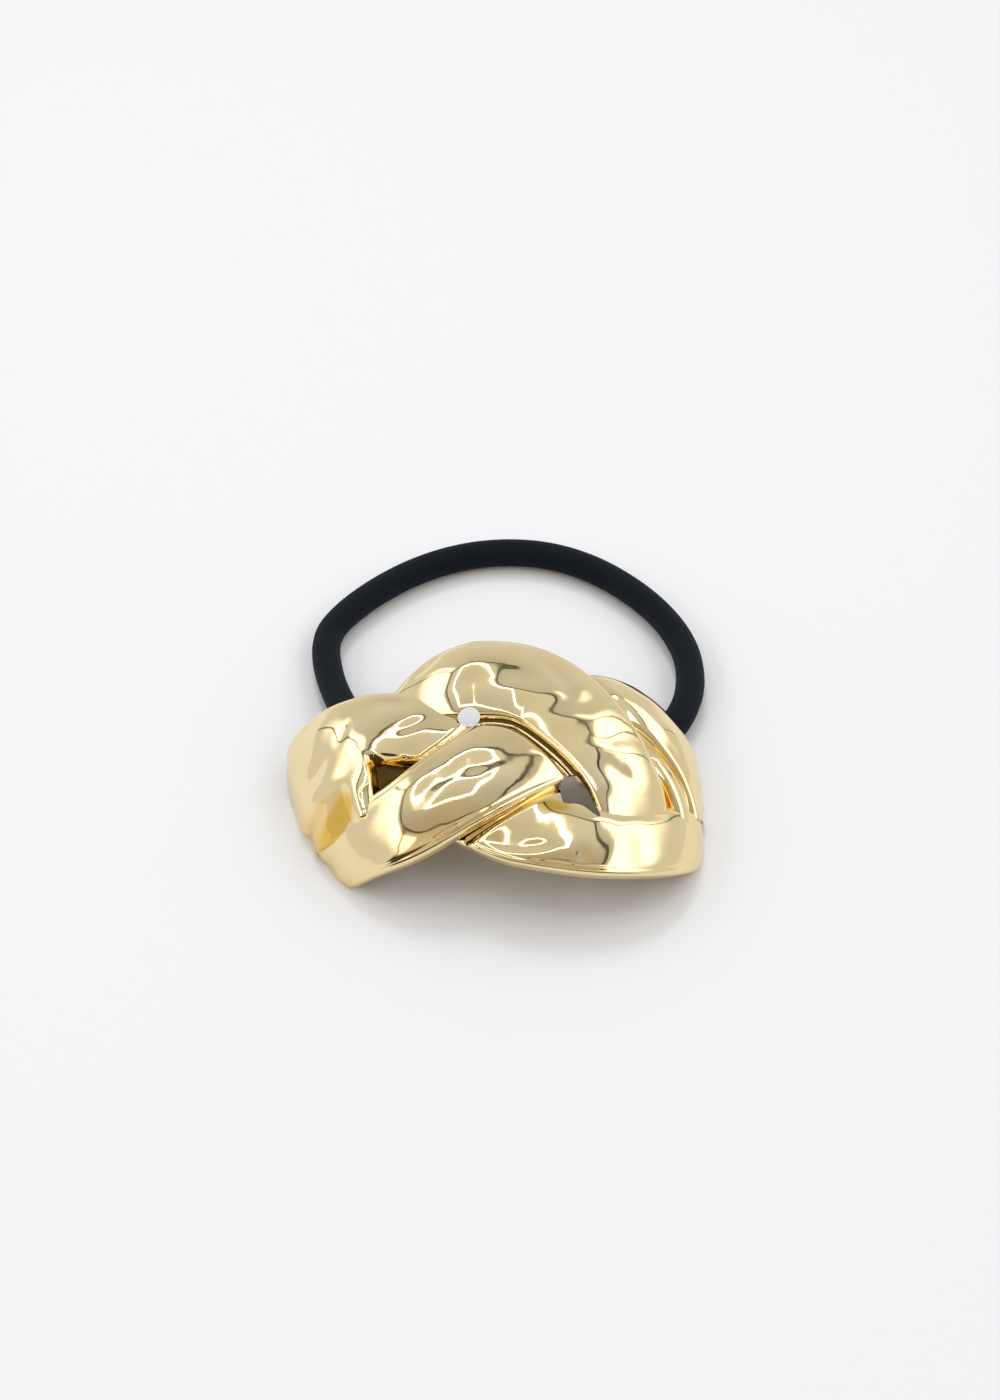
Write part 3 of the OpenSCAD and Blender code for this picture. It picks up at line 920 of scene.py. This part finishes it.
# %% Plate: finish
gold, gold_out = new_finish("pale_gold_plating")
tree = gold.node_tree
where = add_node(tree, "ShaderNodeTexCoord")
peel = add_node(tree, "ShaderNodeTexNoise", Vector=(where, "Object"), Scale=1 / (PEEL_MM * MM),
                Detail=1.0, Roughness=0.4)
peel_bump = add_node(tree, "ShaderNodeBump", Height=(peel, "Fac"), Strength=PEEL_STRENGTH,
                     Distance=PEEL_DEPTH * MM)
patches = add_node(tree, "ShaderNodeTexNoise", Vector=(where, "Object"),
                   Scale=1 / (PATCH_MM * MM), Detail=2.0)
gloss = add_node(tree, "ShaderNodeMapRange", Value=(patches, "Fac"),
                 From_Min=GLOSS_CHANGES[0], From_Max=GLOSS_CHANGES[1], To_Min=GLOSSIEST,
                 To_Max=DULLEST)
tint = add_node(tree, "ShaderNodeMapRange", Value=(patches, "Fac"), From_Min=TINT_CHANGES[0],
                From_Max=TINT_CHANGES[1])
plating = add_node(tree, "ShaderNodeMix", {"data_type": "RGBA"}, Factor=(tint, "Result"),
                   _6=linear(GOLD), _7=linear(GOLD_DEEP))
# painted bounce light: amber by the depth each point was sunk, painted spots included
hollow = add_node(tree, "ShaderNodeAttribute", {"attribute_name": "hollow"})
in_painted_bounce = add_node(tree, "ShaderNodeMapRange", Value=(hollow, "Fac"),
                     From_Min=HOLLOW_FROM, From_Max=HOLLOW_FULL)
plating = add_node(tree, "ShaderNodeMix", {"data_type": "RGBA"}, Factor=(in_painted_bounce, "Result"),
                   _6=(plating, 2), _7=linear(GOLD_PAINTED_BOUNCE))
# the pocket's floor: painted shade and dark reflection in brown, duller, with a ragged edge
ragged = add_node(tree, "ShaderNodeMath", {"operation": "MULTIPLY_ADD"},
                  _0=(patches, "Fac"), _1=PIT_RAGGED, _2=(hollow, "Fac"))
in_pit_shade = add_node(tree, "ShaderNodeMapRange", Value=(ragged, 0), From_Min=PIT_FROM,
                  From_Max=PIT_FULL)
plating = add_node(tree, "ShaderNodeMix", {"data_type": "RGBA"}, Factor=(in_pit_shade, "Result"),
                   _6=(plating, 2), _7=linear(PIT_PAINTED_SHADE))
dulled = add_node(tree, "ShaderNodeMix", Factor=(in_pit_shade, "Result"), _2=(gloss, "Result"),
                  _3=PIT_ROUGHNESS)
metal = add_node(tree, "ShaderNodeBsdfPrincipled", Base_Color=(plating, 2), Metallic=1.0,
                 Roughness=(dulled, 0), Normal=(peel_bump, 0))
tree.links.new(metal.outputs[0], gold_out.inputs["Surface"])
print("plating:", len(tree.nodes), "nodes")

# %% [markdown]
# The fine grooves on the crossing strand's wall lie in shade, and that shade is painted: their
# faces take a second finish, a dark brown metal that is duller than the plating.

# %% Plate: grooves
# painted shade for the faces deep in the grooves
GROOVE_PAINTED_SHADE = "5A4320"
GROOVE_ROUGHNESS = 0.42

groove, groove_out = new_finish("gold_plating_with_painted_groove_shade")
dull = add_node(groove.node_tree, "ShaderNodeBsdfPrincipled", Base_Color=linear(GROOVE_PAINTED_SHADE),
                Metallic=0.8, Roughness=GROOVE_ROUGHNESS)
groove.node_tree.links.new(dull.outputs[0], groove_out.inputs["Surface"])
# the faces marked deep in a groove take the painted groove shade
groove_shade_faces = [face.material_index for face in plate.data.polygons]
plate.data.materials.clear()
plate.data.materials.append(gold)
plate.data.materials.append(groove)
plate.data.polygons.foreach_set("material_index", groove_shade_faces)
print("grooves:", sum(groove_shade_faces), "dull faces")

# %% Plate: what it is
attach(plate, "root")
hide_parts("plaited_plate")
print("pieces:", elastic.name, "and", plate.name)

# %% [markdown]
# ## The table
#
# The hair tie lies on a plain white studio table, covered with matt paper, which takes a soft
# shadow and shows no reflection. One large square is enough, as its edge is never seen.

# %% Table
TABLE_SIZE = 6.0                          # metres
TABLE_PAPER = "EAEAEA"
TABLE_ROUGHNESS = 0.9
TABLE_SHINE = 0.1

table_mesh = bpy.data.meshes.new("studio_table")
corner = TABLE_SIZE / 2
table_mesh.from_pydata([(-corner, -corner, 0), (corner, -corner, 0), (corner, corner, 0),
                        (-corner, corner, 0)], [], [(0, 1, 2, 3)])
table = bpy.data.objects.new("studio_table", table_mesh)
scene.collection.objects.link(table)
paper, paper_out = new_finish("matt_white_paper")
board = add_node(paper.node_tree, "ShaderNodeBsdfPrincipled", Base_Color=linear(TABLE_PAPER),
                 Roughness=TABLE_ROUGHNESS, Specular_IOR_Level=TABLE_SHINE)
paper.node_tree.links.new(board.outputs[0], paper_out.inputs["Surface"])
table.data.materials.append(paper)
print("table:", TABLE_SIZE, "m wide")

# %% [markdown]
# ## The studio
#
# A mirror shows the room, so the room matters more than the metal. Jewellery is photographed in a
# tent of white cloth. It could be a box of glowing meshes, but the box would hide the hair tie from
# other sides, so the tent here is the world's background. Each direction of sight meets its roof or
# one of its walls. A direction (x, y, z) meets the roof where x / z and y / z are both small, and
# those two ratios are all that we need to draw it:
#
# - the roof is a little darker than the walls, because its cloth is doubled, and its middle is a
#   little to the left of the object;
# - thin dark seams run where the cloth is sewn together;
# - the left and right walls are lit from behind and glow just below the seam, and the glow reaches
#   a little round the corners;
# - the front is open to a dark room below, and has a port with a dark rim for the lens above.

# %% Tent: measures
SEAM_AT = 0.62                            # x / z and y / z of the seam round the roof
SEAM_WIDTH = 0.016
SEAM_EASE = 0.01                          # how softly roof and wall meet under it
ROOF_SHIFT = 0.14                         # how far left the roof's middle is, as x / z
SEAM_LIGHT = 0.10                         # a seam's light, where the cloth beside it is 1
ROOF_LIGHT = (0.50, 0.80)                 # at its front and rear
WALL_LIGHT = (0.62, 0.80)                 # at the seam and at the table
GLOW_LIGHT = 1.5                          # what the lamps behind the side walls add
GLOW_BELOW = (1.42, 1.28)                 # z / x where the glow starts under the seam
GLOW_FADES = (1.00, 0.30)                 # z / x where it starts to fade and is gone
GLOW_ROUND = (1.35, 1.15)                 # y / x where it is gone and is full, past the corners
FRONT_FACES = (-0.80, -0.98)              # y / x where the front's cloth starts and is full
FRONT_OPEN = (0.34, 0.60)                 # z / y up to which the front is open to a dark room
FRONT_LIGHT = 0.07
FRONT_WARMTH = 0.5                        # share of the warm tint on the front cloth above that
PORT = (0.0, -0.72, 0.695)                # where the lens looks in
PORT_WIDTH = 0.13                         # radius in radians
PORT_RIM = 0.018
WHITE_CLOTH = "FAFBFF"
WARM_CLOTH = "FFE8BE"
print("roof seam:", round(math.degrees(math.atan(SEAM_AT))), "degrees from straight up")

# %% [markdown]
# ### The tent as a table of steps
#
# Written as nodes, such arithmetic is long and hard to read. So each step is a row here: its name,
# what it does, and its inputs, which are numbers or the names of earlier steps. RAMP goes smoothly
# from 0 to 1 (or from low to high) while its first input goes from the second to the third, and MIX
# goes from its first input to its second by the share that the third gives.

# %% Tent: steps
TENT_STEPS = [
    ("height", "MAXIMUM", "up", 0.001),
    ("shifted", "MULTIPLY_ADD", "height", ROOF_SHIFT, "right"),
    ("aside", "ABSOLUTE", "shifted"),
    ("ahead", "ABSOLUTE", "rear"),
    ("level", "MAXIMUM", "aside", "ahead"),
    ("from_zenith", "DIVIDE", "level", "height"),
    ("on_wall", "DIVIDE", "height", "level"),
    # the plain walls, and the glow on the left and right ones
    ("up_wall", "RAMP", "on_wall", 0.0, 1 / SEAM_AT),
    ("plain_wall", "MIX", WALL_LIGHT[1], WALL_LIGHT[0], "up_wall"),
    ("turned", "DIVIDE", "ahead", "aside"),
    ("on_side", "RAMP", "turned", *GLOW_ROUND),
    ("glow_top", "RAMP", "on_wall", *GLOW_BELOW),
    ("glow_foot", "RAMP", "on_wall", *GLOW_FADES[::-1]),
    ("glow", "MULTIPLY", "glow_top", "glow_foot"),
    ("side_glow", "MULTIPLY", "glow", "on_side"),
    ("lit_wall", "MULTIPLY_ADD", "side_glow", GLOW_LIGHT, "plain_wall"),
    # the open front
    ("faced", "DIVIDE", "rear", "level"),
    ("front", "RAMP", "faced", *FRONT_FACES),
    ("low", "RAMP", "on_wall", *FRONT_OPEN[::-1]),
    ("front_dark", "MULTIPLY", "front", "low"),
    ("wall", "MIX", "lit_wall", FRONT_LIGHT, "front_dark"),
    # the roof
    ("rearwards", "DIVIDE", "rear", "height"),
    ("roof", "RAMP", "rearwards", -SEAM_AT, SEAM_AT, *ROOF_LIGHT),
    ("off_roof", "RAMP", "from_zenith", SEAM_AT - SEAM_EASE, SEAM_AT + SEAM_EASE),
    ("cloth", "MIX", "roof", "wall", "off_roof"),
    # the seams: each is 0 on the seam and 1 off it
    ("past_roof", "SUBTRACT", "from_zenith", SEAM_AT),
    ("roof_gap", "ABSOLUTE", "past_roof"),
    ("roof_seam", "RAMP", "roof_gap", SEAM_WIDTH, SEAM_WIDTH * 2),
    ("past_corner", "SUBTRACT", "aside", "ahead"),
    ("corner_width", "ABSOLUTE", "past_corner"),
    ("corner_gap", "DIVIDE", "corner_width", "level"),
    ("long_seam", "RAMP", "corner_gap", SEAM_WIDTH, SEAM_WIDTH * 2),
    ("on_roof", "RAMP", "from_zenith", SEAM_AT, SEAM_AT - SEAM_EASE),
    ("corner_seam", "MAXIMUM", "long_seam", "on_roof"),
    ("sewn", "MINIMUM", "roof_seam", "corner_seam"),
    # the port's rim, in the same way
    ("off_port", "ARCCOSINE", "port"),
    ("past_rim", "SUBTRACT", "off_port", PORT_WIDTH),
    ("rim_gap", "ABSOLUTE", "past_rim"),
    ("port_rim", "RAMP", "rim_gap", PORT_RIM * 0.5, PORT_RIM),
    # everything together
    ("plain", "MINIMUM", "sewn", "port_rim"),
    ("seam_light", "MULTIPLY", "cloth", SEAM_LIGHT),
    ("tent_light", "MIX", "seam_light", "cloth", "plain"),
    ("front_warm", "MULTIPLY", "front", FRONT_WARMTH),
    ("warm", "MAXIMUM", "front_dark", "front_warm"),
]
STEP_NODES = {                            # node, settings and inputs. All others are plain maths
    "RAMP": ("ShaderNodeMapRange", {"interpolation_type": "SMOOTHSTEP"},
             ("Value", "From_Min", "From_Max", "To_Min", "To_Max")),
    "MIX": ("ShaderNodeMix", {}, ("_2", "_3", "Factor")),
}
print("tent:", len(TENT_STEPS), "steps")

# %% Tent: background
world = bpy.data.worlds.new("photo_tent")
scene.world = world
world.use_nodes = True
tree = world.node_tree
tree.nodes.clear()
look = add_node(tree, "ShaderNodeTexCoord")
axes = add_node(tree, "ShaderNodeSeparateXYZ", Vector=(look, "Generated"))
port = add_node(tree, "ShaderNodeVectorMath", {"operation": "DOT_PRODUCT"},
                _0=(look, "Generated"), _1=PORT)
made = {"right": (axes, "X"), "rear": (axes, "Y"), "up": (axes, "Z"), "port": (port, "Value")}
for name, does, *inputs in TENT_STEPS:
    kind, settings, sockets = STEP_NODES.get(
        does, ("ShaderNodeMath", {"operation": does}, ("_0", "_1", "_2")))
    values = [made.get(value, value) for value in inputs]
    made[name] = (add_node(tree, kind, settings, **dict(zip(sockets, values))), 0)
tent_colour = add_node(tree, "ShaderNodeMix", {"data_type": "RGBA"}, Factor=made["warm"],
                       _6=linear(WHITE_CLOTH), _7=linear(WARM_CLOTH))
tent = add_node(tree, "ShaderNodeBackground", Color=(tent_colour, 2),
                Strength=made["tent_light"])
add_node(tree, "ShaderNodeOutputWorld", Surface=(tent, 0))
print("background:", len(tree.nodes), "nodes")

# %% [markdown]
# ### Lamps
#
# Under the roof hangs a frame of four thin tubes. It is the brightest thing in the tent, and every
# strand shows it as a wobbly white outline. Behind and above the tent a large soft lamp gives the
# table its even light and lets the shadow fall towards the camera.

# %% Lamps
TUBES_UP = 420 * MM
TUBES_MIDDLE = (-0.20, 0.20)              # x / z and y / z
TUBES_HALF = (0.27, 0.32)
TUBE_WIDTH = 16 * MM
TUBE_LIGHT = 5.0                          # brightness, where white cloth is 1
KEY_PLACE = (-0.30, 1.9, 2.5)             # metres
KEY_SIZE = 0.7
KEY_WATTS = 19.0
KEY_COLOUR = "F3FAFF"


def lamp(name, location, size, watts, aim=(0, 0, 0), colour="FFFFFF"):
    """A rectangular lamp that shines at aim and isn't seen by the camera."""
    light = bpy.data.lights.new(name, "AREA")
    light.shape = "RECTANGLE"
    light.size, light.size_y = size
    light.energy = watts
    light.color = linear(colour)[:3]
    thing = bpy.data.objects.new(name, light)
    scene.collection.objects.link(thing)
    thing.location = location
    thing.rotation_euler = (Vector(aim) - Vector(location)).to_track_quat("-Z", "Y").to_euler()
    thing.visible_camera = False
    return thing


middle_x, middle_y = (TUBES_UP * m for m in TUBES_MIDDLE)
half_x, half_y = (TUBES_UP * h for h in TUBES_HALF)
for name, x, y, size_x, size_y in [
        ("tube_rear", 0, half_y, 2 * half_x + TUBE_WIDTH, TUBE_WIDTH),
        ("tube_front", 0, -half_y, 2 * half_x + TUBE_WIDTH, TUBE_WIDTH),
        ("tube_left", -half_x, 0, TUBE_WIDTH, 2 * half_y - TUBE_WIDTH),
        ("tube_right", half_x, 0, TUBE_WIDTH, 2 * half_y - TUBE_WIDTH)]:
    x, y = middle_x + x, middle_y + y
    watts = TUBE_LIGHT * math.pi * size_x * size_y
    lamp(name, (x, y, TUBES_UP), (size_x, size_y), watts, aim=(x, y, 0))
key = lamp("key_softbox", KEY_PLACE, (KEY_SIZE, KEY_SIZE), KEY_WATTS, colour=KEY_COLOUR)
key.visible_glossy = False
print("lamps:", len(bpy.data.lights))

# %% [markdown]
# The picture shows the scene's light as it is, with no film look laid over it, so that a hex value
# comes out as the colour it names.

# %% View
scene.view_settings.view_transform = "Standard"
scene.view_settings.look = "None"
scene.view_settings.exposure = 0.0
scene.view_settings.gamma = 1.0
print("view:", scene.view_settings.view_transform)
